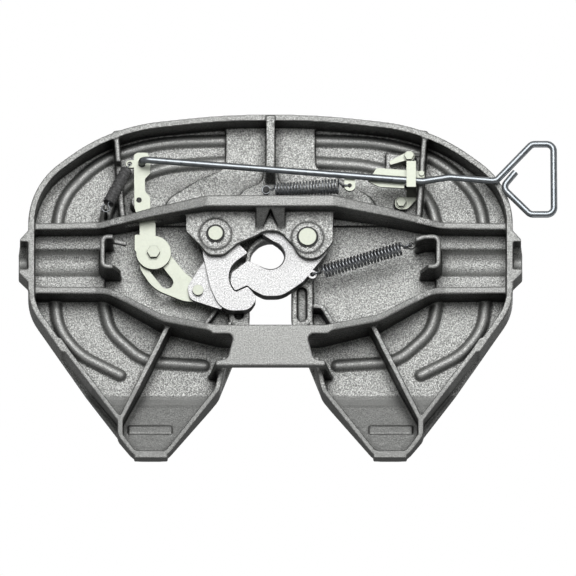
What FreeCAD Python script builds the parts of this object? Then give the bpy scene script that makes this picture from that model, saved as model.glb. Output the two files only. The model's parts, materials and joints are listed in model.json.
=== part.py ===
import FreeCAD, Part
import math
import os

from FreeCAD import Vector

# Fifth wheel hitch, built load face up.
# +X points to the pull handle, +Y to the rear of the vehicle, +Z up; millimetres.
# The origin is where the kingpin's axis crosses the load face.

# ---- Driving dimensions -------------------------------------------------------
PLATE_HALF_WIDTH = 458.0     # half of the 36 inch wide casting
FRONT_EDGE = -274.0
RAMP_TIP = 401.0             # rearmost edge of both ramps
FLOOR = 15.0                 # thickness of the plate
SKIRT_DEPTH = 76.0           # load face to the rim of the outer wall
SKIRT_WALL = 12.0
RIB_DEPTH = 115.0            # load face to the deepest edge of the two cross ribs
RIB_END_DEPTH = 72.0         # the same ribs where they meet the side walls
BAR_THICK = 18.0             # bridge bar under the throat
THROAT_HALF = 39.0           # kingpin passage
RAMP_START = 261.0
RAMP_DROP = 46.0             # how far the ramp tip lies below the load face
RAMP_RIM = 10.0              # width of the walls around the ramps

KINGPIN_LENGTH = 84.0        # how far a 2 inch kingpin reaches below the load face
LOCK_BORE = 25.8             # radius that closes on the 50.8 mm kingpin neck

LOCK_TOP = 36.0              # depths of the jaw and the hook
LOCK_BOTTOM = 64.0
WEB_TOP = 67.0               # cast web that carries the lower ends of the two pins
WEB_BOTTOM = 78.0
BOSS_BOTTOM = 81.0

JAW_PIN = (70.0, -31.0)
JAW_PIN_R = 17.0
HOOK_PIN = (-104.0, -38.0)
HOOK_PIN_R = 14.0
PIN_CLEARANCE = 0.08         # radial running clearance of every pivot

EAR_PIN = (-137.0, 68.0)     # joins the slotted link to the hook
EAR_PIN_R = 8.0
EAR_TOP = 52.0
EAR_BOTTOM = 60.0

LEVER_PIVOT = (-248.5, -110.0)
LEVER_PIVOT_R = 5.0
DRIVE_BOLT = (-221.0, -7.0)
DRIVE_BOLT_R = 7.0
LINK_TOP = 43.0
LINK_BOTTOM = 51.0
LEVER_TOP = 53.0
LEVER_BOTTOM = 61.0

ROD_R = 6.35                 # half inch round bar
ROD_DEPTH = 88.0
ROD_END = (-243.0, -182.0)   # where the bar turns up into the lever

TRUNNION_Y = 3.0             # bracket pin axis
TRUNNION_DEPTH = 48.0
TRUNNION_PAD = 26.0          # depth of the pad between the cross ribs
TRUNNION_TROUGH = 34.9
TRUNNION_SADDLE = 27.0       # half width of the open saddle outside the wall
TRUNNION_BORE = 20.0
LUG_DEPTH = 104.0

STRAP_X = (257.0, 275.0)     # guide strap over the bar
STRAP_REAR_BOLT = (247.0, -113.0)
LATCH_PIVOT = (262.0, -196.0)
SMALL_BOLT_R = 5.0
STRAP_FOOT_TOP = 26.0
STRAP_THICK = 4.0
LATCH_TOP = 38.0
LATCH_BOTTOM = 60.0
GUIDE_TOP = 74.0
GUIDE_BOTTOM = 79.0
GUIDE_SCREW = (285.5, -157.0)

EYE_HOLE = 4.2               # holes that spring eyes pass through
EYE_RADIUS = 7.5             # of the spring eyes, to the middle of the wire
HANDLE_SPRING = (Vector(-8, -128.5, -66), Vector(150, -132, -80))
JAW_SPRING = (Vector(79, 37, -60), Vector(266, -18, -71))
LEVER_SPRING = (Vector(-266, -181, -56), Vector(-311.5, -88, -82))
PAD_DEPTH = 25.0             # raised middle of the front pocket
FOOT_DEPTH = 38.0            # flared foot of the centre rib


# ---- Small helpers ------------------------------------------------------------
def cornered_edges(corners, z, closed):
    """Lines through the corners (x, y) or (x, y, radius), with each radius as a true arc."""
    count = len(corners)
    stops = []
    for i, corner in enumerate(corners):
        here = Vector(corner[0], corner[1], z)
        radius = corner[2] if len(corner) > 2 else 0.0
        is_end = not closed and i in (0, count - 1)
        if radius == 0.0 or is_end:
            stops.append((here,))
            continue
        before = Vector(*corners[i - 1][:2], z) - here
        after = Vector(*corners[(i + 1) % count][:2], z) - here
        half_angle = before.getAngle(after) / 2
        reach = radius / math.tan(half_angle)
        before.normalize()
        after.normalize()
        middle = before + after
        middle.normalize()
        to_arc = radius / math.sin(half_angle) - radius
        stops.append((here + before * reach, here + middle * to_arc, here + after * reach))
    edges = []
    for i, stop in enumerate(stops):
        if len(stop) == 3:
            edges.append(Part.Arc(*stop).toShape())
        if closed or i < count - 1:
            following = stops[(i + 1) % count][0]
            if stop[-1].distanceToPoint(following) > 1e-6:
                edges.append(Part.LineSegment(stop[-1], following).toShape())
    return edges


def prism(corners, top, bottom):
    """Upright block between two depths below the load face, with an outline of corners."""
    face = Part.Face(Part.Wire(cornered_edges(corners, -bottom, True)))
    return face.extrude(Vector(0, 0, bottom - top))


def strip(path, width, top, bottom):
    """Upright wall of even width along an open path of corners, square at both ends."""
    sides = {1: [], -1: []}
    for i, corner in enumerate(path):
        here = Vector(*corner[:2], 0)
        back = (here - Vector(*path[max(i - 1, 0)][:2], 0))
        ahead = (Vector(*path[min(i + 1, len(path) - 1)][:2], 0) - here)
        back = (back if back.Length else ahead).normalize()
        ahead = (ahead if ahead.Length else back).normalize()
        bisector = Vector(-back.y - ahead.y, back.x + ahead.x, 0).normalize()
        mitre = width / 2 / abs(bisector.dot(Vector(-ahead.y, ahead.x, 0)))
        turn = back.cross(ahead).z
        for side, line in sides.items():
            place = here + bisector * (side * mitre)
            radius = corner[2] if len(corner) > 2 else 0.0
            if radius:
                radius = max(radius - math.copysign(width / 2, side * turn), 0.5)
            line.append((place.x, place.y, radius))
    return prism(sides[1] + sides[-1][::-1], top, bottom)


def cylinder(place, radius, top, bottom):
    """Upright cylinder at place between two depths."""
    return Part.makeCylinder(radius, bottom - top, Vector(place[0], place[1], -bottom))


def box(low, high):
    """Block between two corner points."""
    size = [high[i] - low[i] for i in range(3)]
    return Part.makeBox(*size, Vector(*low))


def hexagon(place, across_flats, top, bottom):
    """Upright hexagonal prism."""
    radius = across_flats / math.sqrt(3)
    corners = [(place[0] + radius * math.cos(math.radians(60 * i)),
                place[1] + radius * math.sin(math.radians(60 * i))) for i in range(6)]
    return prism(corners, top, bottom)


def mirrored(corners):
    """The same outline on the other side of the centre line."""
    return [(-corner[0], *corner[1:]) for corner in reversed(corners)]


def both_sides(shape):
    """A feature and its mirror image."""
    return [shape, shape.mirror(Vector(0, 0, 0), Vector(1, 0, 0))]


def joined(shapes):
    """One solid from overlapping shapes."""
    result = shapes[0].fuse(shapes[1:])
    return result.removeSplitter()


def bar_along(points, radius, bend_radius):
    """Round bar through 3-D points, with every inner point a bend of the same radius."""
    stops = [(points[0], points[0])]
    arcs = []
    for before, here, after in zip(points, points[1:], points[2:]):
        back = (before - here).normalize()
        ahead = (after - here).normalize()
        half_angle = back.getAngle(ahead) / 2
        reach = bend_radius / math.tan(half_angle)
        middle = (back + ahead).normalize()
        bend = here + middle * (bend_radius / math.sin(half_angle) - bend_radius)
        arcs.append(Part.Arc(here + back * reach, bend, here + ahead * reach).toShape())
        stops.append((here + back * reach, here + ahead * reach))
    stops.append((points[-1], points[-1]))
    edges = []
    for i in range(len(stops) - 1):
        edges.append(Part.LineSegment(stops[i][1], stops[i + 1][0]).toShape())
        if i < len(arcs):
            edges.append(arcs[i])
    spine = Part.Wire(edges)
    direction = points[1] - points[0]
    section = Part.Wire(Part.makeCircle(radius, points[0], direction))
    return spine.makePipeShell([section], True, False)


def save(name, shape):
    """Writes one node."""
    shape.exportStep("parts/" + name + ".step")


# ---- The casting ----------------------------------------------------------------
LEFT_EDGE = [
    (-84, FRONT_EDGE, 1250), (-302, -250, 340), (-PLATE_HALF_WIDTH, -134, 150),
    (-PLATE_HALF_WIDTH, 101, 100), (-255.5, RAMP_TIP, 22), (-202, RAMP_TIP, 12),
    (-100, 273, 40), (-THROAT_HALF, 119, 60), (-THROAT_HALF, -THROAT_HALF, THROAT_HALF),
]
PLATE_OUTLINE = LEFT_EDGE + mirrored(LEFT_EDGE)


def plate_between(upper_offset, lower_offset):
    """Sheet that is flat to the ramp start and then drops evenly to the ramp tip."""
    slope_end = RAMP_DROP * (RAMP_TIP + 20 - RAMP_START) / (RAMP_TIP - RAMP_START)
    side = [
        (FRONT_EDGE - 20, -upper_offset), (RAMP_START, -upper_offset),
        (RAMP_TIP + 20, -upper_offset - slope_end), (RAMP_TIP + 20, -lower_offset - slope_end),
        (RAMP_START, -lower_offset), (FRONT_EDGE - 20, -lower_offset),
    ]
    points = [Vector(-500, y, z) for y, z in side]
    return Part.Face(Part.makePolygon(points + points[:1])).extrude(Vector(1000, 0, 0))


def plate_floor():
    return prism(PLATE_OUTLINE, 0, SKIRT_DEPTH).common(plate_between(0, FLOOR))


def skirt():
    """Outer wall round the front and sides, ending where the ramp walls take over."""
    front = LEFT_EDGE[:4] + [(-396, 193), (-300, 193)]
    outline = front + mirrored(front)
    outer = Part.Wire(cornered_edges(outline, -SKIRT_DEPTH, True))
    wall = Part.Face(outer).extrude(Vector(0, 0, SKIRT_DEPTH - 2))
    inner = Part.Face(outer.makeOffset2D(-SKIRT_WALL)).extrude(Vector(0, 0, SKIRT_DEPTH))
    behind = box((-390, 150, -200), (390, 260, 10))
    return wall.cut([inner, behind])


def ramp_walls(top):
    """Left ramp: the wall set in from its edge, and the rib that braces it."""
    rim = [(-401, 166), (-386, 189), (-284, 327, 14), (-284, 356, 14), (-258, 391, 14),
           (-196, 391, 12), (-101, 267, 25), (-86, 203)]
    brace = [(-193, 140), (-284, 327)]
    rear = [(-258, 394.5), (-194, 394.5)]
    walls = [strip(rim, RAMP_RIM, top, SKIRT_DEPTH), strip(rear, 13, top, SKIRT_DEPTH)]
    walls.append(strip(brace, RAMP_RIM, top, SKIRT_DEPTH))
    return joined(walls).common(plate_between(2, 400))


def ramp_label_panel():
    """Plain raised panel near the ramp tip, without lettering."""
    panel = prism([(-268, 328, 2), (-187, 328, 2), (-187, 345, 2), (-268, 345, 2)], 20, 60)
    return panel.common(plate_between(FLOOR - 3, FLOOR + 3))


FRONT_RIB = [(122, -93.5, 22), (225, -77, 18), (320, -57, 14), (454, -55, 13)]
REAR_RIB = [(95, 160, 15), (205, 132, 15), (308, 71, 14), (454, 69.5, 14)]


def cross_rib(stations):
    """Rib from wall to wall; stations (x, y, thickness) run from the middle to the side."""
    edges = {}
    for side in (-1, 1):
        edges[side] = [(x, y + side * thick / 2, 80) for x, y, thick in stations[:-1]]
        x, y, thick = stations[-1]
        edges[side].append((x, y + side * thick / 2))
    half = edges[-1] + edges[1][::-1]
    return prism(half + mirrored(half), FLOOR - 3, RIB_DEPTH)


def rib_side_profile():
    """Everything above the ribs' lower edge, which dips towards the middle."""
    half = [(118, -RIB_DEPTH), (330, -RIB_END_DEPTH), (470, -RIB_END_DEPTH)]
    lower = [(-x, z) for x, z in reversed(half)] + half
    points = [Vector(x, -300, z) for x, z in [(-470, 10)] + lower + [(470, 10)]]
    return Part.Face(Part.makePolygon(points + points[:1])).extrude(Vector(0, 700, 0))


def bridge_bar():
    """Flat bar that ties the two sides together under the throat, with its rear flange."""
    half = [(118, 150), (112, 168, 8), (69, 168, 10), (82, 217, 12), (104, 221, 3), (104, 231, 3)]
    return prism(half + mirrored(half), RIB_DEPTH - BAR_THICK, RIB_DEPTH)


def bridge_leg():
    """Left leg that leans out from the bar's rear flange to the plate."""
    side = [(-104, -RIB_DEPTH), (-91, -RIB_DEPTH), (-99, -FLOOR + 3), (-117, -FLOOR + 3)]
    points = [Vector(x, 222, z) for x, z in side]
    return Part.Face(Part.makePolygon(points + points[:1])).extrude(Vector(0, 9, 0))


def throat_passage():
    """Way in for the kingpin, above the bridge bar."""
    return box((-THROAT_HALF, 60, -RIB_DEPTH + BAR_THICK), (THROAT_HALF, 300, 10))


def pin_web():
    """Web under the jaw and hook that holds the lower ends of both pins."""
    outline = [
        (-160, -88), (-160, -44, 8), (-133, -16, 12), (-118, 3, 22), (-88, 3, 22),
        (-62, -20, 20), (-30, -34, 30), (-10, -45, 25), (18, -44, 25), (42, -17, 40),
        (56, 10, 30), (92, 10, 30), (118, -22, 10), (120, -88),
    ]
    return prism(outline, WEB_TOP, WEB_BOTTOM)


def pin_boss_rings():
    return [cylinder(pin, 30, WEB_TOP, BOSS_BOTTOM) for pin in (JAW_PIN, HOOK_PIN)]


def kingpin_collar():
    """Thickened front half of the seat round the kingpin."""
    disc = cylinder((0, 0), THROAT_HALF + 9, FLOOR - 3, LOCK_TOP - 1)
    return disc.cut(box((-60, 12, -60), (60, 60, 10)))


def kingpin_space():
    """Room for the pin's lower flange in the collar and the web."""
    return cylinder((0, 0), THROAT_HALF - 1, -1, KINGPIN_LENGTH + 3)


def notched_gusset():
    """Wedge between the front rib and the web, with a V cut down its middle."""
    side = [(-86, -RIB_DEPTH + 3), (-48, -WEB_BOTTOM), (-48, -WEB_BOTTOM + 3),
            (-86, -WEB_BOTTOM + 3)]
    points = [Vector(-27, y, z) for y, z in side]
    wedge = Part.Face(Part.makePolygon(points + points[:1])).extrude(Vector(54, 0, 0))
    return wedge.cut(prism([(0, -82), (-18, -44), (18, -44)], WEB_BOTTOM, RIB_DEPTH))


def trunnion_seat():
    """Left pad between the cross ribs, with its hooked lug and the boss outside the wall."""
    pad = box((-452, -58, -TRUNNION_PAD), (-313, 70, -FLOOR + 3))
    lug = strip([(-297, -26), (-317.5, -26, 9), (-317.5, 32, 9), (-303, 32)], 9, FLOOR - 3, LUG_DEPTH)
    toe_side = [(-305, -LUG_DEPTH), (-298, -LUG_DEPTH), (-283, -62), (-283, -12), (-305, -12)]
    points = [Vector(x, 27.5, z) for x, z in toe_side]
    toe = Part.Face(Part.makePolygon(points + points[:1])).extrude(Vector(0, 9, 0))
    finger = strip([(-297, -26), (-272, -20)], 9, 67, 75)
    outline = [(-450, -46), (-458, -46), (-473, -30, 4), (-476, -12, 6), (-476, 38, 4),
               (-460, 54), (-450, 54)]
    return pad.fuse([lug, toe, finger, prism(outline, 16, SKIRT_DEPTH)])


def jaw_spring_anchor():
    """Longer arm of the right lug, with an eye at the end of its finger."""
    arm = strip([(300, -26), (290, -25.5, 12), (274, -20)], 9, FLOOR - 3, LUG_DEPTH)
    finger = strip([(280, -22), JAW_SPRING[1][:2]], 9, 67, 75)
    return arm.fuse([finger, cylinder(JAW_SPRING[1], 8.5, 67, 75)])


def along_trunnion(radius, start_x, end_x):
    """Cylinder round the left bracket pin's axis."""
    start = Vector(start_x, TRUNNION_Y, -TRUNNION_DEPTH)
    return Part.makeCylinder(radius, end_x - start_x, start, Vector(1, 0, 0))


def trunnion_cuts():
    """Shallow trough in the pad, open saddle in the boss and the bore through the wall."""
    saddle_floor = along_trunnion(TRUNNION_SADDLE, -480, -PLATE_HALF_WIDTH)
    saddle = box((-480, TRUNNION_Y - TRUNNION_SADDLE, -90),
                 (-PLATE_HALF_WIDTH, TRUNNION_Y + TRUNNION_SADDLE, -TRUNNION_DEPTH))
    wall_inside = SKIRT_WALL - PLATE_HALF_WIDTH
    return [along_trunnion(TRUNNION_TROUGH, wall_inside, -323), saddle_floor.fuse(saddle),
            along_trunnion(TRUNNION_BORE, -480, wall_inside + 5)]


def centre_rib():
    """Short rib from the front wall with its flared foot."""
    side = [(FRONT_EDGE + 4, -FLOOR + 3), (FRONT_EDGE + 4, -78), (-166, -78), (-146, -36),
            (-95, -30), (-95, -FLOOR + 3)]
    points = [Vector(-8, y, z) for y, z in side]
    rib = Part.Face(Part.makePolygon(points + points[:1])).extrude(Vector(16, 0, 0))
    foot = prism([(-12, -178), (12, -178), (16, -152, 18), (48, -139, 30), (86, -95),
                  (-86, -95), (-48, -139, 30), (-16, -152, 18)], FLOOR - 3, FOOT_DEPTH)
    return rib.fuse(foot)


def front_pad():
    """Thicker floor in the middle of the front pocket."""
    half = [(84, -268), (84, -183, 25), (139, -158, 60), (196, -122, 40), (206, -70)]
    return prism(half + mirrored(half), FLOOR - 3, PAD_DEPTH)


def latch_pad():
    """Raised seat of the guide strap and the latch."""
    outline = [(218, -214, 4), (283, -205), (280, -148), (250, -148), (218, -176, 4)]
    return prism(outline, FLOOR - 3, STRAP_FOOT_TOP)


def lever_spring_peg():
    """Cast peg in front of the rib that the lever spring's eye goes round."""
    x, y = LEVER_SPRING[1][:2]
    return box((x - 2.5, y - 5, -90), (x + 2.5, y + 5, -FLOOR + 3))


def pocket_rib():
    """Left rib of the front pocket."""
    return strip([(-292, -243), (-279, -66)], 10, FLOOR - 3, GUIDE_TOP)


RIDGE_RADIUS = 13.0
RIDGE_AXIS = FLOOR - 5.5     # depth of the ridges' middle
GREASE_RIDGES = [
    [(-84, -239), (-215, -236, 400), (-325, -200, 200), (-396, -122, 120), (-404, -61)],
    [(-84, -197), (-190, -190, 250), (-268, -162, 130), (-305, -110, 100), (-316, -61)],
    [(-407, 76), (-402, 130, 100), (-362, 182, 120), (-284, 222)],
    [(-316, 76), (-305, 135, 80), (-240, 196, 90), (-126, 203)],
]


def grease_ridge(path):
    """Rounded ridge under one grease groove, with a round end."""
    spine = Part.Wire(cornered_edges(path, -RIDGE_AXIS, False))
    start = Vector(*path[0][:2], -RIDGE_AXIS)
    ahead = Vector(*path[1][:2], -RIDGE_AXIS) - start
    section = Part.Wire(Part.makeCircle(RIDGE_RADIUS, start, ahead))
    ridge = spine.makePipeShell([section], True, False)
    end = Vector(*path[-1][:2], -RIDGE_AXIS)
    return ridge.fuse(Part.makeSphere(RIDGE_RADIUS - 0.2, end))


def throat_pads():
    """Low pads beside the throat that the jaw slides over, with their cast details."""
    right = prism([(40, 24, 3), (80, 24, 3), (80, 152), (40, 152)], FLOOR - 3, LOCK_TOP - 1)
    slot_outline = [(50.5, 54, 8.9), (68.5, 54, 8.9), (68.5, 121, 8.9), (50.5, 121, 8.9)]
    slot = prism(slot_outline, FLOOR + 8, 60)
    left = prism([(-78, 60, 3), (-40, 60, 3), (-40, 152), (-78, 152)], FLOOR - 3, LOCK_TOP - 1)
    pit = cylinder((-59.5, 108), 8.5, FLOOR + 8, 60)
    curb = strip([(80, 96), (98, 97.5, 8), (122, 139)], 9, FLOOR - 3, 56)
    oblique = strip([(-128, 132), (-101, 96)], 8, FLOOR - 3, LOCK_TOP - 2)
    stops = both_sides(cylinder((77, 130), 4.5, FLOOR - 3, 50))
    return [right.cut(slot), left.cut(pit), curb, oblique] + stops


def mechanism_posts():
    """Cast posts that carry the lever pivot, the guides, the springs and the latch."""
    return [
        cylinder(LEVER_PIVOT, 15, FLOOR - 3, LEVER_TOP - 1),
        cylinder(STRAP_REAR_BOLT, 13, FLOOR - 3, STRAP_FOOT_TOP),
        cylinder(LATCH_PIVOT, 12, FLOOR - 3, LATCH_TOP - 1),
        cylinder(JAW_PIN, 34, FLOOR - 3, LOCK_TOP - 1),
        cylinder(HOOK_PIN, 32, FLOOR - 3, LOCK_TOP - 1),
    ]


def lever_window():
    """Opening in the front rib that the release lever swings in."""
    return box((-277, -100, -LEVER_BOTTOM - 4), (-205, -50, -LEVER_TOP + 4))


def spring_notch():
    """Dip in the left pocket rib that the lever's return spring passes over."""
    return box((-305, -182, -90), (-268, -94, -43))


def grease_grooves():
    """Shallow grooves in the load face, over the ridges of the underside."""
    grooves = []
    for path in GREASE_RIDGES:
        grooves += both_sides(strip(path, 7, -1, 4))
    return grooves


def pin_bores():
    return [
        cylinder(JAW_PIN, JAW_PIN_R, FLOOR - 5, 90),
        cylinder(HOOK_PIN, HOOK_PIN_R, FLOOR - 5, 90),
        cylinder(LEVER_PIVOT, LEVER_PIVOT_R, FLOOR, 90),
        cylinder(STRAP_REAR_BOLT, SMALL_BOLT_R, FLOOR - 1, 60),
        cylinder(LATCH_PIVOT, SMALL_BOLT_R, FLOOR, 90),
        cylinder(GUIDE_SCREW, 3, 50, 90),
        cylinder(JAW_SPRING[1], EYE_HOLE, 60, 90),
    ]


def top_plate():
    """The whole casting."""
    ribs = cross_rib(FRONT_RIB).fuse(cross_rib(REAR_RIB)).common(rib_side_profile())
    parts = [plate_floor(), skirt(), ribs, bridge_bar(), pin_web(), notched_gusset()]
    parts += pin_boss_rings() + throat_pads() + mechanism_posts()
    parts += [kingpin_collar(), centre_rib(), front_pad(), latch_pad(), lever_spring_peg()]
    parts.append(jaw_spring_anchor())
    two_sided = [ramp_walls(FLOOR - 3), ramp_label_panel(), bridge_leg(), trunnion_seat(),
                 pocket_rib()]
    for feature in two_sided:
        parts += both_sides(feature)
    for path in GREASE_RIDGES:
        parts += both_sides(grease_ridge(path))
    cuts = [lever_window(), spring_notch(), kingpin_space(), throat_passage()]
    cuts += grease_grooves() + pin_bores()
    for cut in trunnion_cuts():
        cuts += both_sides(cut)
    outside = box((-600, -600, 0), (600, 600, 50))
    return joined(parts).cut(cuts + [outside])


# ---- Lock ---------------------------------------------------------------------------
def lock_jaw():
    """Forged jaw that closes round the kingpin and turns on the jaw pin."""
    outline = [
        (-43, 10.3, 2), (-73, 33, 8), (-76, 54, 14), (-67, 69, 4), (-44, 58.5, 4), (-33, 68, 8),
        (-12, 79.5, 30), (22, 79, 45), (62, 51, 50), (109, -8, 34), (109, -69, 38), (32, -69, 30),
        (-14, -52, 4), (-17, -43.1, 1.5), (14.6, -22.1), (-10.6, 24.3),
    ]
    body = prism(outline, LOCK_TOP, LOCK_BOTTOM)
    spring_ear = cylinder(JAW_SPRING[0], 8.5, EAR_TOP + 4, LOCK_BOTTOM)
    chamfer = Part.makeCone(LOCK_BORE + 2.5, LOCK_BORE, 2.5, Vector(0, 0, -LOCK_BOTTOM))
    cuts = [
        cylinder((0, 0), LOCK_BORE, 0, 100),
        chamfer,
        cylinder(JAW_PIN, JAW_PIN_R + PIN_CLEARANCE - 0.05, 0, 100),
        cylinder(JAW_SPRING[0], EYE_HOLE, 0, 100),
    ]
    return body.fuse(spring_ear).cut(cuts).removeSplitter()


def locking_hook():
    """Hook that holds the jaw's nose, with the ear that the slotted link pulls on."""
    outline = [
        (-58, -21, 6), (-43.5, -5.5, 1), (-75, 18, 42), (-81.5, 50, 40), (-67, 72.5, 7),
        (-43.5, 61, 3), (-24.5, 83, 14), (-40, 107, 22), (-93, 109, 38), (-114, 62, 60),
        (-128, -4, 30), (-124, -50), (-85, -50),
    ]
    body = prism(outline, LOCK_TOP, LOCK_BOTTOM)
    boss = cylinder(HOOK_PIN, 30, LOCK_TOP, LOCK_BOTTOM)
    ear = prism([(-122, 4), (-157, 60, 16), (-153, 85, 18), (-90, 106, 4), (-100, 50)],
                EAR_TOP, EAR_BOTTOM)
    cuts = [cylinder(HOOK_PIN, HOOK_PIN_R + PIN_CLEARANCE - 0.05, 0, 100),
            cylinder(EAR_PIN, EAR_PIN_R, 0, 100)]
    return joined([body, boss, ear]).cut(cuts)


def pivot_pin(place, radius):
    """Pin from the plate through the moving part to below the web, grooved for its ring."""
    pin = cylinder(place, radius - 0.05, FLOOR - 4.5, BOSS_BOTTOM + 6)
    groove = cylinder(place, radius + 5, BOSS_BOTTOM + 0.6, BOSS_BOTTOM + 3.2)
    return pin.cut(groove.cut(cylinder(place, radius - 2, 0, 100)))


def snap_ring(place, radius, top, thick):
    """Open retaining ring."""
    ring = cylinder(place, radius + 3.5, top, top + thick)
    ring = ring.cut(cylinder(place, radius - 1.9, 0, 120))
    gap = box((place[0] - 3, place[1], -200), (place[0] + 3, place[1] + radius + 10, 0))
    return ring.cut(gap)


# ---- Release linkage ------------------------------------------------------------------
def slotted_link():
    """Plate with a bent slot that lets the hook close without moving the lever."""
    outline = [
        (-246, -34, 20), (-250, 18, 50), (-222, 62, 70), (-165, 86, 60), (-119, 90, 20),
        (-117, 52, 16), (-142, 46, 10), (-163, 28, 30), (-188, -4, 20), (-196, -36, 20),
    ]
    slot = strip([(-221, -7), (-223, 14, 30), (-196, 49)], 24, 0, 100)
    round_ends = [cylinder((-221, -7), 12, 0, 100), cylinder((-196, 49), 12, 0, 100)]
    bore = cylinder(EAR_PIN, EAR_PIN_R + PIN_CLEARANCE - 0.05, 0, 100)
    return prism(outline, LINK_TOP, LINK_BOTTOM).cut([slot, bore] + round_ends)


def ear_pin():
    """Headed pin that hangs the link on the hook's ear."""
    shank = cylinder(EAR_PIN, EAR_PIN_R - 0.05, LINK_TOP - 4, EAR_BOTTOM + 0.1)
    head = cylinder(EAR_PIN, EAR_PIN_R + 2.5, EAR_BOTTOM + 0.1, EAR_BOTTOM + 6)
    groove = cylinder(EAR_PIN, 20, LINK_TOP - 2.8, LINK_TOP - 1)
    return shank.fuse(head).cut(groove.cut(cylinder(EAR_PIN, EAR_PIN_R - 2, 0, 100)))


def release_lever():
    """Flat lever through the front rib: the bar pulls its front end, its round end drives the link."""
    blade = [
        (-258.6, -199, 6), (-251, -203.5, 4), (-232, -203.5, 5), (-227, -192, 4), (-227, -162, 5),
        (-237, -152, 8), (-237, -128, 12), (-227, -116, 8), (-227, -96, 10), (-217, -62),
        (-217, -38), (-190, -30, 20), (-200, 12), (-240, 12), (-257, -12), (-257, -42, 3),
        (-247.5, -42), (-247.5, -62), (-257.5, -96, 10),
    ]
    plate = prism(blade, LEVER_TOP, LEVER_BOTTOM)
    disc = cylinder(DRIVE_BOLT, 33, LEVER_TOP, LEVER_BOTTOM)
    ear = cylinder(LEVER_SPRING[0], 7.5, LEVER_TOP, LEVER_BOTTOM)
    neck_outline = [(-266, -188.5), (-250, -188.5), (-250, -173.5), (-266, -173.5)]
    neck = prism(neck_outline, LEVER_TOP, LEVER_BOTTOM)
    trim = box((-215, -60, -100), (-180, -30, 0)).cut(disc)
    cuts = [
        trim,
        bar_slot(),
        cylinder(LEVER_PIVOT, LEVER_PIVOT_R + PIN_CLEARANCE - 0.05, 0, 100),
        cylinder(DRIVE_BOLT, DRIVE_BOLT_R + 0.05, 0, 100),
        cylinder(LEVER_SPRING[0], EYE_HOLE, 0, 100),
    ]
    return joined([plate, disc, ear, neck]).cut(cuts)


def bar_slot():
    """Slot that the bar's turned-up end follows while the lever swings."""
    ends = [(-243, -181.7), (-242.3, -185.3)]
    rounds = [cylinder(end, ROD_R + 0.65, 0, 100) for end in ends]
    return strip(ends, 2 * (ROD_R + 0.65), 0, 100).fuse(rounds)


def lever_pivot_pin():
    """Sunk pin; the window in the front rib keeps the lever on it."""
    return cylinder(LEVER_PIVOT, LEVER_PIVOT_R - 0.05, FLOOR + 0.5, LEVER_BOTTOM - 1.5)


def drive_bolt():
    shank = cylinder(DRIVE_BOLT, DRIVE_BOLT_R, 28, LEVER_BOTTOM)
    head = hexagon(DRIVE_BOLT, 22, LEVER_BOTTOM, LEVER_BOTTOM + 8)
    return shank.fuse(head)


def drive_roller():
    """Hardened bush on the drive bolt that runs in the link's slot."""
    outer = cylinder(DRIVE_BOLT, 10.5, LINK_TOP - 0.5, LEVER_TOP - 0.2)
    return outer.cut(cylinder(DRIVE_BOLT, DRIVE_BOLT_R + 0.05, 0, 100))


def drive_washer():
    outer = cylinder(DRIVE_BOLT, 15.5, LINK_TOP - 3.2, LINK_TOP - 0.7)
    return outer.cut(cylinder(DRIVE_BOLT, DRIVE_BOLT_R + 0.2, 0, 100))


def drive_nut():
    outer = hexagon(DRIVE_BOLT, 22, LINK_TOP - 14, LINK_TOP - 3.4)
    return outer.cut(cylinder(DRIVE_BOLT, DRIVE_BOLT_R + 0.05, 0, 100))


# ---- Pull handle and its guide -----------------------------------------------------------
def bar_point(x, y):
    return Vector(x, y, -ROD_DEPTH)


def pull_handle():
    """Half inch bar: a turned-up end for the lever, a long straight run and a grip loop."""
    loop = [(288, -139), (338, -147), (426, -139.5), (494, -212), (535, -212), (536, -74),
            (491, -74), (438.5, -127), (463, -157)]
    points = [Vector(*ROD_END, -LEVER_TOP + 5), bar_point(*ROD_END)]
    points += [bar_point(x, y) for x, y in loop]
    return bar_along(points, ROD_R, 13.5)


def handle_spring_hook(bar):
    """Small eye plate welded to the bar for its return spring."""
    outline = [(139.5, -156), (160.5, -156), (160.5, -121.5, 10.4), (139.5, -121.5, 10.4)]
    plate = prism(outline, ROD_DEPTH - 12, ROD_DEPTH - 4)
    return plate.cut([bar, cylinder(HANDLE_SPRING[1], EYE_HOLE, 0, 100)])


def guide_plate():
    """Flat slide plate on the right pocket rib, under the bar."""
    outline = [(201, -168), (291, -161), (291, -149), (253, -147), (253, -128), (205, -131, 8),
               (184, -142)]
    return prism(outline, GUIDE_TOP, GUIDE_BOTTOM).cut(cylinder(GUIDE_SCREW, 3.2, 0, 100))


def guide_screw():
    shank = cylinder(GUIDE_SCREW, 2.95, 58, GUIDE_BOTTOM)
    return shank.fuse(cylinder(GUIDE_SCREW, 5.5, GUIDE_BOTTOM, GUIDE_BOTTOM + 3.5))


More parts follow.
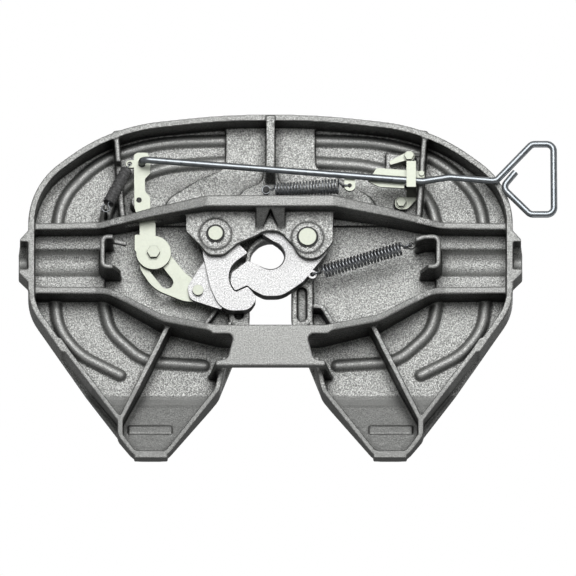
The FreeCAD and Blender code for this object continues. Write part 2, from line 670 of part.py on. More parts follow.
def guide_strap():
    """Strap over the bar: its front foot turns in under the bar, its rear foot turns out."""
    low_x, high_x = STRAP_X
    crown = ROD_DEPTH + ROD_R + 1
    foot = STRAP_FOOT_TOP + STRAP_THICK
    front, rear = -176, -125
    side = [
        (front, -STRAP_FOOT_TOP), (front, -crown - STRAP_THICK), (rear, -crown - STRAP_THICK),
        (rear, -foot), (-119, -foot), (-119, -STRAP_FOOT_TOP), (rear - STRAP_THICK, -STRAP_FOOT_TOP),
        (rear - STRAP_THICK, -crown), (front + STRAP_THICK, -crown), (front + STRAP_THICK, -foot),
        (-150, -foot), (-150, -STRAP_FOOT_TOP),
    ]
    points = [Vector(low_x, y, z) for y, z in side]
    band = Part.Face(Part.makePolygon(points + points[:1])).extrude(Vector(high_x - low_x, 0, 0))
    toe = prism([(235, -125, 11), (high_x, -125), (high_x, -119, 4), (259, -101, 11), (235, -101, 11)],
                STRAP_FOOT_TOP, foot)
    return joined([band, toe]).cut(cylinder(STRAP_REAR_BOLT, SMALL_BOLT_R + 0.3, 0, 50))


GUIDE_BOLT_SEATS = {         # what each bolt clamps: its shank's top and its washer's top
    STRAP_REAR_BOLT: (FLOOR, STRAP_FOOT_TOP + STRAP_THICK),
    LATCH_PIVOT: (FLOOR + 1, LATCH_BOTTOM),
}


def guide_bolts():
    """Bolt of the strap's rear foot, and the latch's pivot bolt."""
    bolts = []
    for place, (shank_top, seat) in GUIDE_BOLT_SEATS.items():
        shank = cylinder(place, SMALL_BOLT_R - 0.05, shank_top, seat + 2)
        bolts.append(shank.fuse(hexagon(place, 16, seat + 2, seat + 9)))
    return Part.makeCompound(bolts)


def guide_washers():
    washers = []
    for place, (shank_top, seat) in GUIDE_BOLT_SEATS.items():
        disc = cylinder(place, 10.5, seat + 0.1, seat + 1.9)
        washers.append(disc.cut(cylinder(place, SMALL_BOLT_R + 0.3, 0, 100)))
    return Part.makeCompound(washers)


def latch_pawl():
    """Thick swinging stop beside the strap."""
    arm = prism([(223.5, -186, 2), (256, -204), (262, -187), (253, -187.5), (227, -179.5, 2)],
                LATCH_TOP, LATCH_BOTTOM)
    eye = cylinder(LATCH_PIVOT, 9.5, LATCH_TOP, LATCH_BOTTOM)
    return joined([arm, eye]).cut(cylinder(LATCH_PIVOT, SMALL_BOLT_R + PIN_CLEARANCE - 0.05, 0, 100))


# ---- Springs --------------------------------------------------------------------------------
def spring_post():
    """Headed post that holds the still end of the handle spring."""
    place = HANDLE_SPRING[0]
    return cylinder(place, 4.5, FOOT_DEPTH, 70).fuse(cylinder(place, 6, 68.5, 71))


def extension_spring(ends, coil, coil_span, flat_start=False, flat_end=False):
    """Coil spring with an eye at each end; coil is (mean radius, wire radius, turns).

    A flat eye goes round a post at that end, and an upright one passes through a hole there.
    """
    mean_radius, wire_radius, turns = coil
    start, end = ends
    along = end - start
    length = along.Length
    first, last = coil_span
    pitch = (last - first) / turns
    helix = Part.makeHelix(pitch, last - first, mean_radius)
    section = Part.Wire(Part.makeCircle(wire_radius, Vector(mean_radius, 0, 0), Vector(0, 1, 0)))
    body = Part.Wire(helix).makePipeShell([section], True, True)
    body.translate(Vector(0, 0, first))
    low_centre = 0.0 if flat_start else EYE_RADIUS
    high_centre = length if flat_end else length - EYE_RADIUS
    spans = ((low_centre + EYE_RADIUS, first), (last, high_centre - EYE_RADIUS))
    pieces = [body]
    for low, high in spans:
        pieces.append(Part.makeCylinder(wire_radius, high - low, Vector(0, 0, low)))
    for height in (first, last):
        pieces.append(Part.makeCylinder(wire_radius, mean_radius, Vector(0, 0, height), Vector(1, 0, 0)))
        pieces.append(Part.makeSphere(wire_radius, Vector(0, 0, height)))
        pieces.append(Part.makeSphere(wire_radius, Vector(mean_radius, 0, height)))
    for height, is_flat in ((low_centre, flat_start), (high_centre, flat_end)):
        normal = Vector(0, 1, 0) if is_flat else Vector(1, 0, 0)
        pieces.append(Part.makeTorus(EYE_RADIUS, wire_radius, Vector(0, 0, height), normal))
    spring = joined(pieces)
    across = along.cross(Vector(0, 0, 1))
    turn = FreeCAD.Rotation(across, along.cross(across), along, "ZXY")
    spring.Placement = FreeCAD.Placement(start, turn)
    return spring


def handle_spring():
    return extension_spring(HANDLE_SPRING, (11.8, 1.8, 22), (17, 137), flat_start=True)


def jaw_spring():
    return extension_spring(JAW_SPRING, (11.0, 2.0, 24), (22, 175))


def lever_spring():
    return extension_spring(LEVER_SPRING, (6.0, 1.4, 20), (22, 88), flat_end=True)


def spring_sleeve():
    """Rubber tube over the lever spring."""
    start, end = LEVER_SPRING
    axis = (end - start).normalize()
    foot = start + axis * 14
    return Part.makeCylinder(11.5, 80, foot, axis).cut(Part.makeCylinder(9.2, 80, foot, axis))


def main():
    os.makedirs("parts", exist_ok=True)
    bar = pull_handle()
    nodes = {
        "top_plate": top_plate(),
        "lock_jaw": lock_jaw(),
        "locking_hook": locking_hook(),
        "jaw_pin": pivot_pin(JAW_PIN, JAW_PIN_R),
        "hook_pin": pivot_pin(HOOK_PIN, HOOK_PIN_R),
        "jaw_pin_ring": snap_ring(JAW_PIN, JAW_PIN_R, BOSS_BOTTOM + 0.8, 2.2),
        "hook_pin_ring": snap_ring(HOOK_PIN, HOOK_PIN_R, BOSS_BOTTOM + 0.8, 2.2),
        "slotted_link": slotted_link(),
        "ear_pin": ear_pin(),
        "ear_pin_ring": snap_ring(EAR_PIN, EAR_PIN_R, LINK_TOP - 2.6, 1.4),
        "release_lever": release_lever(),
        "lever_pivot_pin": lever_pivot_pin(),
        "drive_bolt": drive_bolt(),
        "drive_roller": drive_roller(),
        "drive_washer": drive_washer(),
        "drive_nut": drive_nut(),
        "pull_handle": bar,
        "handle_spring_hook": handle_spring_hook(bar),
        "guide_plate": guide_plate(),
        "guide_screw": guide_screw(),
        "guide_strap": guide_strap(),
        "guide_bolts": guide_bolts(),
        "guide_washers": guide_washers(),
        "latch_pawl": latch_pawl(),
        "spring_post": spring_post(),
        "handle_spring": handle_spring(),
        "jaw_spring": jaw_spring(),
        "lever_spring": lever_spring(),
        "spring_sleeve": spring_sleeve(),
    }
    for name, shape in nodes.items():
        save(name, shape)


main()
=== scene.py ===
import json
import math

import bmesh
import bpy
from mathutils import Matrix, Vector

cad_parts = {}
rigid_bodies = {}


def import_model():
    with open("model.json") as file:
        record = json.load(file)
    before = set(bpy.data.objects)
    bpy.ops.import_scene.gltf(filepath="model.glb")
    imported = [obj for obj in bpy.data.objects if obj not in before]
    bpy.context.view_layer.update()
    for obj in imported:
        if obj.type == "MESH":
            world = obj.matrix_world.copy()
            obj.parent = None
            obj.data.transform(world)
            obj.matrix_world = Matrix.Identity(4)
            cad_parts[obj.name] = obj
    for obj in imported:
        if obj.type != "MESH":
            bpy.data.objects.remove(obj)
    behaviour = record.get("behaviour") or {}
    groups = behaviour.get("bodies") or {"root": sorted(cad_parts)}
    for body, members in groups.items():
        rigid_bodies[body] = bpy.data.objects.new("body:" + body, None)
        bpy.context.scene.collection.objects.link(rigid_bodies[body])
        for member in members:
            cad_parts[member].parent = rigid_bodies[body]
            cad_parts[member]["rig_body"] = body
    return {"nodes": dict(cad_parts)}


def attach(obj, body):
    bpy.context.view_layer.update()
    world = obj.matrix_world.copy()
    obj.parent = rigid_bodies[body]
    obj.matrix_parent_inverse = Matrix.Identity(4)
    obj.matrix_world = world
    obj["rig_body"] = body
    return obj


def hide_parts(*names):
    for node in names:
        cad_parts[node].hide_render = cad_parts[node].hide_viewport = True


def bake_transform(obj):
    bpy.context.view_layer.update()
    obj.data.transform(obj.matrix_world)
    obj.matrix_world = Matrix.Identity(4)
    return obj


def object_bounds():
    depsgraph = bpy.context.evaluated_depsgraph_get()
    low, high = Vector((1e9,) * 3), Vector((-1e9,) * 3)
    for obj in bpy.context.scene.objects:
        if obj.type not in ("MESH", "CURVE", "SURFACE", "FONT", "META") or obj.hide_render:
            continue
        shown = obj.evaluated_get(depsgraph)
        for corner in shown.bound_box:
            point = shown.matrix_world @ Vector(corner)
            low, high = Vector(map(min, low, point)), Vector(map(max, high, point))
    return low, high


# Looks of the fifth wheel hitch. Metres, in the row frame: +X to the pull handle, +Y to the
# rear of the vehicle, +Z up, load face at z = 0. The hitch is seen from below.

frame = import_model()
cad_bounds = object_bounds()

MM = 0.001

# ---- Driving values ---------------------------------------------------------------
VIEW_TILT = math.radians(16)         # how far the view leans from straight below to the rear
VIEW_WIDTH = 1.0886                  # metres across the picture
VIEW_CENTRE = (0.0331, -0.0437)      # picture centre from the origin, to the right and up

CAST_VOXEL = 1.9 * MM                # grid that the casting's skin is rebuilt on
CAST_SMOOTHING = 3                   # rounds of smoothing that soften its edges

RAMP_START = 261 * MM                # from here to the rear the casting is darker and more even in tone
RIM_LEVEL = -72 * MM                 # rib edges and rims lie below this height
WEB_LEVEL = -79.5 * MM               # the rough web round the pins lies about here
RIDGE_LEVEL = -20 * MM               # the smooth grease ridges lie about here

SHARP_ANGLE = math.radians(18)       # faces that meet at more than this keep a crisp edge

EYE_RADIUS = 7.5 * MM                # spring eyes, to the middle of the wire
EYE_STEPS = 14                       # points round a spring eye
COIL_STEPS = 20                      # points round one turn of a coil
CURVE_STEP = 1.2 * MM                # distance between points on the bent spring ends

SLEEVE_FOOT = 14 * MM                # start of the rubber sleeve, along the lever spring
SLEEVE_LENGTH = 80 * MM
SLEEVE_OUTER = 11.8 * MM
SLEEVE_INNER = 9.2 * MM
SLEEVE_FOLD = 0.6 * MM               # half the depth of its folds
SLEEVE_FOLDS = 10


# ---- Node helpers -----------------------------------------------------------------
def new_material(name):
    material = bpy.data.materials.new(name)
    material.use_nodes = True
    material.node_tree.nodes.clear()
    return material


def add(tree, kind, inputs=None, **settings):
    """New shader node. Inputs are values or sockets, by name or by number."""
    node = tree.nodes.new("ShaderNode" + kind)
    for key, value in settings.items():
        setattr(node, key, value)
    for key, value in (inputs or {}).items():
        if isinstance(value, bpy.types.NodeSocket):
            tree.links.new(value, node.inputs[key])
        else:
            node.inputs[key].default_value = value
    return node


def place(tree, stretch=(1, 1, 1)):
    """Coordinates of a point on the piece, in metres, stretched along each axis."""
    at = add(tree, "TexCoord").outputs["Object"]
    return add(tree, "Mapping", {"Vector": at, "Scale": stretch}).outputs["Vector"]


def noise(tree, size, detail=3.0, roughness=0.55, stretch=(1, 1, 1)):
    """Noise between 0 and 1 whose blotches are about size metres wide."""
    settings = {"Vector": place(tree, stretch), "Scale": 1 / size, "Detail": detail, "Roughness": roughness}
    return add(tree, "TexNoise", settings).outputs["Fac"]


def blend_range(tree, value, low, high, out_low=0.0, out_high=1.0):
    """Value between low and high, mapped to out_low and out_high and held beyond them."""
    inputs = {"Value": value, "From Min": low, "From Max": high, "To Min": out_low, "To Max": out_high}
    return add(tree, "MapRange", inputs).outputs["Result"]


def maths(tree, operation, first, second):
    return add(tree, "Math", {0: first, 1: second}, operation=operation).outputs[0]


def mixed(tree, share, first, second, how="MIX"):
    """Colour between first and second."""
    node = add(tree, "Mix", data_type="RGBA", blend_type=how)
    for key, value in ((0, share), (6, first), (7, second)):
        if isinstance(value, bpy.types.NodeSocket):
            tree.links.new(value, node.inputs[key])
        else:
            node.inputs[key].default_value = value
    return node.outputs[2]


def grey(value, tint=0.0):
    """Grey that leans to yellow green with the tint."""
    return (value, value * (1 + tint), value * (1 - 2 * tint), 1)


def crevice(tree, distance):
    """1 on open faces, falling to 0 deep in the piece's own corners."""
    return add(tree, "AmbientOcclusion", {"Distance": distance}, samples=6, only_local=True).outputs["AO"]


def shaded(tree, colour, distance, corner, wall):
    """Colour with painted shade in crevices, down to corner times itself, and on upright faces, down to wall
    times itself.
    """
    # painted shade: darker in the piece's own corners and on upright faces
    painted_corner_shade = blend_range(tree, crevice(tree, distance), 0.25, 0.95, corner, 1.0)
    normal = add(tree, "NewGeometry").outputs["True Normal"]
    upward = add(tree, "SeparateXYZ", {"Vector": normal}).outputs["Z"]
    level = maths(tree, "ABSOLUTE", upward, 0.0)
    upright = blend_range(tree, level, 0.2, 0.85, wall, 1.0)
    return mixed(tree, 1.0, colour, maths(tree, "MULTIPLY", painted_corner_shade, upright), "MULTIPLY")


def rounded(tree, colour, rim):
    """Colour with painted shade that falls to rim times itself where a round piece turns away from the view.
    """
    # painted shade towards the silhouette of round pieces
    facing = add(tree, "LayerWeight", {"Blend": 0.5}).outputs["Facing"]
    turned = blend_range(tree, facing, 0.35, 0.85, 1.0, rim)
    return mixed(tree, 1.0, colour, turned, "MULTIPLY")


def finish_material(material, colour, metallic, roughness, height, depth):
    """Principled surface with a bump of the given depth."""
    tree = material.node_tree
    bump = add(tree, "Bump", {"Height": height, "Distance": depth, "Strength": 1.0})
    inputs = {"Base Color": colour, "Metallic": metallic, "Roughness": roughness,
              "Normal": bump.outputs["Normal"]}
    surface = add(tree, "BsdfPrincipled", inputs)
    output = add(tree, "OutputMaterial")
    tree.links.new(surface.outputs["BSDF"], output.inputs["Surface"])
    return material


# ---- Materials --------------------------------------------------------------------
def cast_iron():
    """Grey cast steel with bright sand grain, cleaner on the rib edges, darker and more even in tone on the
    ramps, with painted shade in corners and on walls.
    """
    material = new_material("cast_iron")
    tree = material.node_tree
    speckle = blend_range(tree, noise(tree, 2.4 * MM, 2, 0.75), 0.38, 0.64)
    blotch = blend_range(tree, noise(tree, 60 * MM, 4), 0.3, 0.7)
    base = mixed(tree, speckle, grey(0.24, 0.01), grey(0.98, 0.01))
    base = mixed(tree, maths(tree, "MULTIPLY", blotch, 0.2), base, grey(0.7, 0.01))
    at = add(tree, "SeparateXYZ", {"Vector": place(tree)})
    deep = blend_range(tree, at.outputs["Z"], RIM_LEVEL, RIM_LEVEL + 2 * MM, 1.0, 0.0)
    from_web = maths(tree, "ABSOLUTE", maths(tree, "SUBTRACT", at.outputs["Z"], WEB_LEVEL), 0.0)
    rim = maths(tree, "MULTIPLY", deep, blend_range(tree, from_web, 2 * MM, 3 * MM))
    from_ridge = maths(tree, "ABSOLUTE", maths(tree, "SUBTRACT", at.outputs["Z"], RIDGE_LEVEL), 0.0)
    ridge = blend_range(tree, from_ridge, 2 * MM, 4 * MM, 1.0, 0.0)
    clean = maths(tree, "MAXIMUM", rim, ridge)
    base = mixed(tree, maths(tree, "MULTIPLY", rim, 0.6), base, grey(0.38, 0.01))
    base = mixed(tree, maths(tree, "MULTIPLY", ridge, 0.6), base, grey(0.56, 0.01))
    # darker, more even colour from RAMP_START to the rear
    ramp = blend_range(tree, at.outputs["Y"], RAMP_START, RAMP_START + 4 * MM)
    base = mixed(tree, maths(tree, "MULTIPLY", ramp, 0.7), base, grey(0.34, 0.01))
    # painted shade on upright faces, deepest where the casting closes round them, and in corners
    enclosed_wall_shade = blend_range(tree, crevice(tree, 120 * MM), 0.6, 0.95, 0.12, 0.5)
    colour = shaded(tree, base, 20 * MM, 0.1, enclosed_wall_shade)
    grain = noise(tree, 1.6 * MM, 3, 0.65)
    lumps = maths(tree, "MULTIPLY", noise(tree, 7 * MM, 3), 1.2)
    rough_height = maths(tree, "ADD", grain, lumps)
    height = maths(tree, "MULTIPLY", rough_height, blend_range(tree, clean, 0, 1, 1.0, 0.35))
    rough = blend_range(tree, speckle, 0, 1, 0.56, 0.42)
    return finish_material(material, colour, 0.75, rough, height, 0.5 * MM)


def forged_steel():
    """Bright shot-blasted forging of the jaw and the hook."""
    material = new_material("forged_steel")
    tree = material.node_tree
    speckle = blend_range(tree, noise(tree, 2.2 * MM, 3, 0.7), 0.36, 0.62)
    cloud = blend_range(tree, noise(tree, 22 * MM, 3), 0.3, 0.7)
    base = mixed(tree, speckle, grey(0.36, 0.0), grey(0.98, 0.0))
    base = mixed(tree, maths(tree, "MULTIPLY", cloud, 0.2), base, grey(0.7, 0.0))
    # painted shade in corners and on upright faces
    colour = shaded(tree, base, 9 * MM, 0.3, 0.1)
    height = noise(tree, 1.2 * MM, 3, 0.6)
    return finish_material(material, colour, 0.7, 0.42, height, 0.2 * MM)


def pale_plate(name, low, high, tint):
    """Zinc plated sheet, pins and bolts."""
    material = new_material(name)
    tree = material.node_tree
    cloud = blend_range(tree, noise(tree, 9 * MM, 4), 0.3, 0.7)
    base = mixed(tree, cloud, grey(low, tint), grey(high, tint))
    # painted shade in corners and on upright faces
    colour = shaded(tree, base, 6 * MM, 0.3, 0.15)
    brushed = noise(tree, 0.8 * MM, 2, 0.5, (1, 0.15, 1))
    rough = blend_range(tree, cloud, 0, 1, 0.36, 0.46)
    return finish_material(material, colour, 0.6, rough, brushed, 0.06 * MM)


def bar_steel():
    """Drawn round bar, blue grey."""
    material = new_material("bar_steel")
    tree = material.node_tree
    cloud = blend_range(tree, noise(tree, 12 * MM, 4), 0.3, 0.7)
    base = mixed(tree, cloud, (0.42, 0.46, 0.49, 1), (0.60, 0.64, 0.67, 1))
    # painted shade towards the sides of the bar
    colour = rounded(tree, base, 0.15)
    drawn = noise(tree, 0.7 * MM, 2, 0.5, (0.12, 1, 1))
    rough = blend_range(tree, cloud, 0, 1, 0.26, 0.36)
    return finish_material(material, colour, 0.85, rough, drawn, 0.05 * MM)


def spring_steel():
    """Oiled spring wire."""
    material = new_material("spring_steel")
    tree = material.node_tree
    cloud = blend_range(tree, noise(tree, 5 * MM, 3), 0.3, 0.7)
    wire_colour = mixed(tree, cloud, (0.40, 0.42, 0.44, 1), (0.72, 0.75, 0.78, 1))
    # painted shade between the coils and towards the sides of the wire
    colour = rounded(tree, shaded(tree, wire_colour, 7 * MM, 0.04, 1.0), 0.08)
    rough = blend_range(tree, cloud, 0, 1, 0.28, 0.4)
    return finish_material(material, colour, 0.85, rough, noise(tree, 0.9 * MM), 0.05 * MM)


def black_oxide():
    """Blackened rings, post and pivot."""
    material = new_material("black_oxide")
    tree = material.node_tree
    cloud = blend_range(tree, noise(tree, 3 * MM, 3), 0.3, 0.7)
    colour = mixed(tree, cloud, grey(0.02), grey(0.05))
    return finish_material(material, colour, 0.7, 0.4, noise(tree, 0.9 * MM), 0.06 * MM)


def rubber():
    """Charcoal rubber tube with mould dust."""
    material = new_material("rubber")
    tree = material.node_tree
    dust = blend_range(tree, noise(tree, 4 * MM, 4), 0.45, 0.75)
    colour = mixed(tree, dust, grey(0.12), grey(0.3))
    return finish_material(material, colour, 0.0, 0.5, noise(tree, 0.8 * MM), 0.1 * MM)


MATERIALS = {
    "cast_iron": cast_iron(),
    "forged_steel": forged_steel(),
    "pin_steel": pale_plate("pin_steel", 0.58, 0.72, 0.05),
    "zinc_steel": pale_plate("zinc_steel", 0.62, 0.74, 0.05),
    "bar_steel": bar_steel(),
    "spring_steel": spring_steel(),
    "black_oxide": black_oxide(),
    "rubber": rubber(),
}


def finish(piece, slot):
    """Gives a piece the material of its record slot."""
    piece.data.materials.clear()
    piece.data.materials.append(MATERIALS[slot])


# ---- Mesh helpers -------------------------------------------------------------------
def welded_copy(node, name):
    """Copy of a CAD node's mesh, with the vertices along its seams joined."""
    mesh = frame["nodes"][node].data.copy()
    mesh.name = name
    work = bmesh.new()
    work.from_mesh(mesh)
    bmesh.ops.remove_doubles(work, verts=work.verts, dist=0.002 * MM)
    work.to_mesh(mesh)
    work.free()
    piece = bpy.data.objects.new(name, mesh)
    bpy.context.scene.collection.objects.link(piece)
    return piece


def apply_modifiers(piece):
    """Replaces a piece's mesh by what its modifiers make of it."""
    bpy.context.view_layer.update()
    graph = bpy.context.evaluated_depsgraph_get()
    mesh = bpy.data.meshes.new_from_object(piece.evaluated_get(graph))
    mesh.name = piece.name
    piece.modifiers.clear()
    piece.data = mesh


def stand_in(piece, node, slot):
    """A piece that takes the place of a CAD node, on that node's body."""
    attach(piece, frame["nodes"][node]["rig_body"])
    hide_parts(node)
    finish(piece, slot)


def as_cast(node, name, voxel, rounds, slot):
    """Cast or forged skin of a CAD node: rounded edges and small fillets."""
    piece = welded_copy(node, name)
    remesh = piece.modifiers.new("remesh", "REMESH")
    remesh.mode = "VOXEL"
    remesh.voxel_size = voxel
    smooth = piece.modifiers.new("smooth", "SMOOTH")
    smooth.factor = 0.5
    smooth.iterations = rounds
    apply_modifiers(piece)
    for face in piece.data.polygons:
        face.use_smooth = True
    stand_in(piece, node, slot)
    return piece


def edge_broken(node, name, width, slot):
    """Plate or turned part of a CAD node with its sharp edges rounded off."""
    piece = welded_copy(node, name)
    work = bmesh.new()
    work.from_mesh(piece.data)
    flat = math.radians(1.5)
    bmesh.ops.dissolve_limit(work, angle_limit=flat, verts=work.verts, edges=work.edges)
    work.to_mesh(piece.data)
    work.free()
    bevel = piece.modifiers.new("bevel", "BEVEL")
    bevel.width = width
    bevel.segments = 2
    bevel.limit_method = "ANGLE"
    bevel.angle_limit = math.radians(40)
    bevel.use_clamp_overlap = True
    apply_modifiers(piece)
    for face in piece.data.polygons:
        face.use_smooth = True
    piece.data.set_sharp_from_angle(angle=SHARP_ANGLE)
    stand_in(piece, node, slot)
    return piece


# ---- Springs ------------------------------------------------------------------------
def smooth_run(points, step):
    """Points about step apart on a smooth curve through the given ones."""
    run = []
    count = len(points)
    for i in range(count - 1):
        before, start = points[max(i - 1, 0)], points[i]
        end, after = points[i + 1], points[min(i + 2, count - 1)]
        pieces = max(int((end - start).length / step), 1)
        for j in range(pieces):
            t = j / pieces
            linear = (end - before) * t
            squared = (2 * before - 5 * start + 4 * end - after) * t ** 2
            cubed = (3 * start - before - 3 * end + after) * t ** 3
            run.append(0.5 * (2 * start + linear + squared + cubed))
    run.append(points[-1])
    return run


def wire(name, points, radius, sides=10):
    """Round wire along a run of points, closed at both ends."""
    work = bmesh.new()
    rings = []
    normal = (points[1] - points[0]).orthogonal().normalized()
    for i, here in enumerate(points):
        ahead = (points[min(i + 1, len(points) - 1)] - points[max(i - 1, 0)]).normalized()
        normal = (normal - ahead * normal.dot(ahead)).normalized()
        across = ahead.cross(normal)
        ring = []
        for k in range(sides):
            angle = 2 * math.pi * k / sides
            ring.append(work.verts.new(here + (normal * math.cos(angle) + across * math.sin(angle)) * radius))
        rings.append(ring)
    for low, high in zip(rings, rings[1:]):
        for k in range(sides):
            work.faces.new((low[k], low[(k + 1) % sides], high[(k + 1) % sides], high[k]))
    work.faces.new(rings[0][::-1])
    work.faces.new(rings[-1])
    for face in work.faces:
        face.smooth = len(face.verts) == 4
    mesh = bpy.data.meshes.new(name)
    work.to_mesh(mesh)
    work.free()
    piece = bpy.data.objects.new(name, mesh)
    bpy.context.scene.collection.objects.link(piece)
    return piece


def hook_points(coil_end, eye_centre, mean_radius, upright, sign):
    """From the end of the coil to the axis, up the shank and round the eye.

    The coil ends at (mean_radius, 0, coil_end). An upright eye lies across the coil's start
    direction, and a flat one along it. Sign is 1 at the far end and -1 at the near end.
    """
    bend = 0.7 * mean_radius
    points = [
        Vector((0.55 * mean_radius, sign * 0.55 * mean_radius, coil_end + sign * 0.25 * bend)),
        Vector((0, sign * 0.2 * mean_radius, coil_end + sign * 0.8 * bend)),
    ]
    side = Vector((0, 1, 0)) if upright else Vector((1, 0, 0))
    neck = eye_centre - sign * EYE_RADIUS
    reach = abs(neck - coil_end) - bend
    if reach > 4 * MM:
        points.append(Vector((0, 0, coil_end + sign * (bend + 2 * MM))))
        points.append(Vector((0, 0, neck - sign * 2 * MM)))
    for i in range(EYE_STEPS + 1):
        angle = math.radians(20 + 310 * i / EYE_STEPS)
        turn = side * (math.sin(angle) * EYE_RADIUS)
        points.append(turn + Vector((0, 0, eye_centre - sign * math.cos(angle) * EYE_RADIUS)))
    return points


def tension_spring(node, name, ends, coil, span, upright):
    """Close-wound spring with an eye at each end, stretching between two bodies.

    Coil is (mean radius at the near end, mean radius at the far end, wire radius, turns).
    """
    start, end = (Vector(point) * MM for point in ends)
    near_radius, far_radius, wire_radius = (size * MM for size in coil[:3])
    turns = coil[3]
    first, last = span[0] * MM, span[1] * MM
    axis = (end - start).normalized()
    length = (end - start).length
    coils = []
    for i in range(turns * COIL_STEPS + 1):
        angle = 2 * math.pi * i / COIL_STEPS
        share = i / (turns * COIL_STEPS)
        radius = near_radius + (far_radius - near_radius) * share
        height = first + (last - first) * share
        coils.append(Vector((radius * math.cos(angle), radius * math.sin(angle), height)))
    low_eye = EYE_RADIUS if upright[0] else 0.0
    high_eye = length - EYE_RADIUS if upright[1] else length
    near = hook_points(first, low_eye, near_radius, upright[0], -1)
    far = hook_points(last, high_eye, far_radius, upright[1], 1)
    near_end = smooth_run(near[::-1] + coils[:1], CURVE_STEP)
    far_end = smooth_run(coils[-1:] + far, CURVE_STEP)
    path = near_end[:-1] + coils + far_end[1:]
    across = axis.cross(Vector((0, 0, 1))).normalized()
    turn = Matrix((across, axis.cross(across), axis)).transposed()
    path = [start + turn @ point for point in path]
    piece = wire(name, path, wire_radius)
    finish(piece, "spring_steel")
    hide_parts(node)
    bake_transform(piece)
    return piece


def sleeve(ends):
    """Rubber tube over the lever spring, with soft folds."""
    start, end = (Vector(point) * MM for point in ends)
    axis = (end - start).normalized()
    across = axis.cross(Vector((0, 0, 1))).normalized()
    up = axis.cross(across)
    profile = []
    rows = 80
    for i in range(rows + 1):
        share = i / rows
        fold = SLEEVE_FOLD * (math.sin(2 * math.pi * SLEEVE_FOLDS * share) - 1)
        profile.append((SLEEVE_OUTER + fold, SLEEVE_FOOT + SLEEVE_LENGTH * share))
    profile.append((SLEEVE_INNER, SLEEVE_FOOT + SLEEVE_LENGTH))
    profile.append((SLEEVE_INNER, SLEEVE_FOOT))
    sides = 40
    work = bmesh.new()
    rings = []
    for radius, along in profile:
        ring = []
        for k in range(sides):
            angle = 2 * math.pi * k / sides
            spoke = across * math.cos(angle) + up * math.sin(angle)
            ring.append(work.verts.new(start + axis * along + spoke * radius))
        rings.append(ring)
    for a, b in zip(rings, rings[1:] + rings[:1]):
        for k in range(sides):
            face = work.faces.new((a[k], a[(k + 1) % sides], b[(k + 1) % sides], b[k]))
            face.smooth = True
    bmesh.ops.recalc_face_normals(work, faces=work.faces)
    mesh = bpy.data.meshes.new("sleeve")
    work.to_mesh(mesh)
    work.free()
    piece = bpy.data.objects.new("sleeve", mesh)
    bpy.context.scene.collection.objects.link(piece)
    finish(piece, "rubber")
    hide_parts("spring_sleeve")
    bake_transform(piece)
    return piece


# ---- The hitch ------------------------------------------------------------------------
as_cast("top_plate", "casting_skin", CAST_VOXEL, CAST_SMOOTHING, "cast_iron")

edge_broken("lock_jaw", "jaw_forging", 1.6 * MM, "forged_steel")
edge_broken("locking_hook", "hook_forging", 1.6 * MM, "forged_steel")

PLATES = {
    "slotted_link": 0.5, "release_lever": 0.5, "guide_plate": 0.5, "guide_strap": 0.4,
    "handle_spring_hook": 0.5, "latch_pawl": 0.8,
}
for node, width in PLATES.items():
    edge_broken(node, node + "_sheet", width * MM, "zinc_steel")

PINS = ("jaw_pin", "hook_pin", "ear_pin", "drive_bolt", "drive_roller", "drive_washer",
        "guide_bolts", "guide_washers", "guide_screw")
for node in PINS:
    edge_broken(node, node + "_turned", 0.6 * MM, "pin_steel")

for node in ("lever_pivot_pin", "spring_post"):
    edge_broken(node, node + "_turned", 0.6 * MM, "black_oxide")

for node in ("jaw_pin_ring", "hook_pin_ring", "ear_pin_ring", "drive_nut"):
    finish(frame["nodes"][node], "black_oxide")

finish(frame["nodes"]["pull_handle"], "bar_steel")

HANDLE_ENDS = ((-8, -128.5, -66), (150, -132, -80))
JAW_ENDS = ((79, 37, -60), (266, -18, -71))
LEVER_ENDS = ((-266, -181, -56), (-311.5, -88, -82))
tension_spring("handle_spring", "handle_coil", HANDLE_ENDS, (10.2, 13.2, 1.9, 20), (17, 137),
               (False, True))
tension_spring("jaw_spring", "jaw_coil", JAW_ENDS, (11.0, 11.0, 2.0, 24), (22, 175),
               (True, True))
tension_spring("lever_spring", "lever_coil", LEVER_ENDS, (6.0, 6.0, 1.4, 20), (22, 88),
               (True, False))
sleeve(LEVER_ENDS)


# ---- Stage ------------------------------------------------------------------------------
RIGHT = Vector((1, 0, 0))
UP = Vector((0, -math.cos(VIEW_TILT), -math.sin(VIEW_TILT)))
BACK = Vector((0, math.sin(VIEW_TILT), -math.cos(VIEW_TILT)))


def aimed(direction):
    """Rotation of a light that shines along -direction."""
    return (-direction).to_track_quat("-Z", "Y").to_euler()


def studio_light(name, direction, distance, size, power):
    data = bpy.data.lights.new(name, "AREA")
    data.shape = "DISK"
    data.size = size
    data.energy = power
    light = bpy.data.objects.new(name, data)
    towards = direction.normalized()
    light.location = towards * distance
    light.rotation_euler = aimed(towards)
    bpy.context.scene.collection.objects.link(light)


def camera():
    data = bpy.data.cameras.new("camera")
    data.type = "ORTHO"
    data.ortho_scale = VIEW_WIDTH
    eye = bpy.data.objects.new("camera", data)
    basis = Matrix((RIGHT, UP, BACK)).transposed()
    eye.rotation_euler = basis.to_euler()
    eye.location = RIGHT * VIEW_CENTRE[0] + UP * VIEW_CENTRE[1] + BACK * 3.0
    bpy.context.scene.collection.objects.link(eye)
    bpy.context.scene.camera = eye


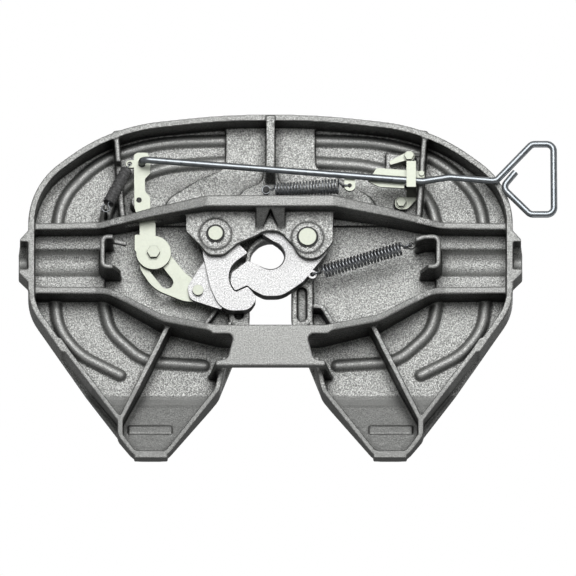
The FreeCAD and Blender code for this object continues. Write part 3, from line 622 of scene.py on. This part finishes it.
def floor_material():
    """Pale floor that only a camera above it sees."""
    material = new_material("studio_floor")
    tree = material.node_tree
    grain = blend_range(tree, noise(tree, 30 * MM, 3), 0.3, 0.7)
    colour = mixed(tree, grain, grey(0.86), grey(0.88))
    diffuse = add(tree, "BsdfDiffuse", {"Color": colour}).outputs["BSDF"]
    glow = add(tree, "Emission", {"Color": colour, "Strength": 0.75}).outputs["Emission"]
    paint = add(tree, "AddShader", {0: diffuse, 1: glow}).outputs[0]
    clear = add(tree, "BsdfTransparent").outputs["BSDF"]
    from_above = maths(tree, "SUBTRACT", 1.0, add(tree, "NewGeometry").outputs["Backfacing"])
    seen = maths(tree, "MULTIPLY", from_above, add(tree, "LightPath").outputs["Is Camera Ray"])
    surface = add(tree, "MixShader", {0: seen, 1: clear, 2: paint})
    output = add(tree, "OutputMaterial")
    tree.links.new(surface.outputs[0], output.inputs["Surface"])
    return material


def floor():
    low, high = cad_bounds
    half = 6.0
    height = low.z - 1 * MM
    mesh = bpy.data.meshes.new("floor")
    corners = [(-half, -half, height), (half, -half, height), (half, half, height), (-half, half, height)]
    mesh.from_pydata(corners, [], [(0, 1, 2, 3)])
    sheet = bpy.data.objects.new("floor", mesh)
    sheet.data.materials.append(floor_material())
    bpy.context.scene.collection.objects.link(sheet)


def surroundings():
    """White backdrop; the light it gives is bright near the horizon only."""
    world = bpy.data.worlds.new("studio")
    bpy.context.scene.world = world
    world.use_nodes = True
    tree = world.node_tree
    tree.nodes.clear()
    towards = add(tree, "TexCoord").outputs["Generated"]
    height = add(tree, "SeparateXYZ", {"Vector": towards}).outputs["Z"]
    above = blend_range(tree, height, -0.15, 0.2)
    below_zenith = blend_range(tree, height, 0.6, 0.85, 1.0, 0.0)
    band = maths(tree, "MULTIPLY", above, below_zenith)
    light = blend_range(tree, band, 0, 1, 0.1, 0.55)
    seen = add(tree, "LightPath").outputs["Is Camera Ray"]
    strength = mixed(tree, seen, light, (1, 1, 1, 1))
    backdrop = add(tree, "Background", {"Color": strength})
    output = add(tree, "OutputWorld")
    tree.links.new(backdrop.outputs[0], output.inputs["Surface"])


camera()
floor()
surroundings()
studio_light("softbox", Vector((0.04, -0.33, -1)), distance=3.0, size=2.5, power=41)
studio_light("overhead", Vector((0.3, -0.5, 1)), distance=3.0, size=1.8, power=18)

scene = bpy.context.scene
scene.view_settings.view_transform = "Standard"
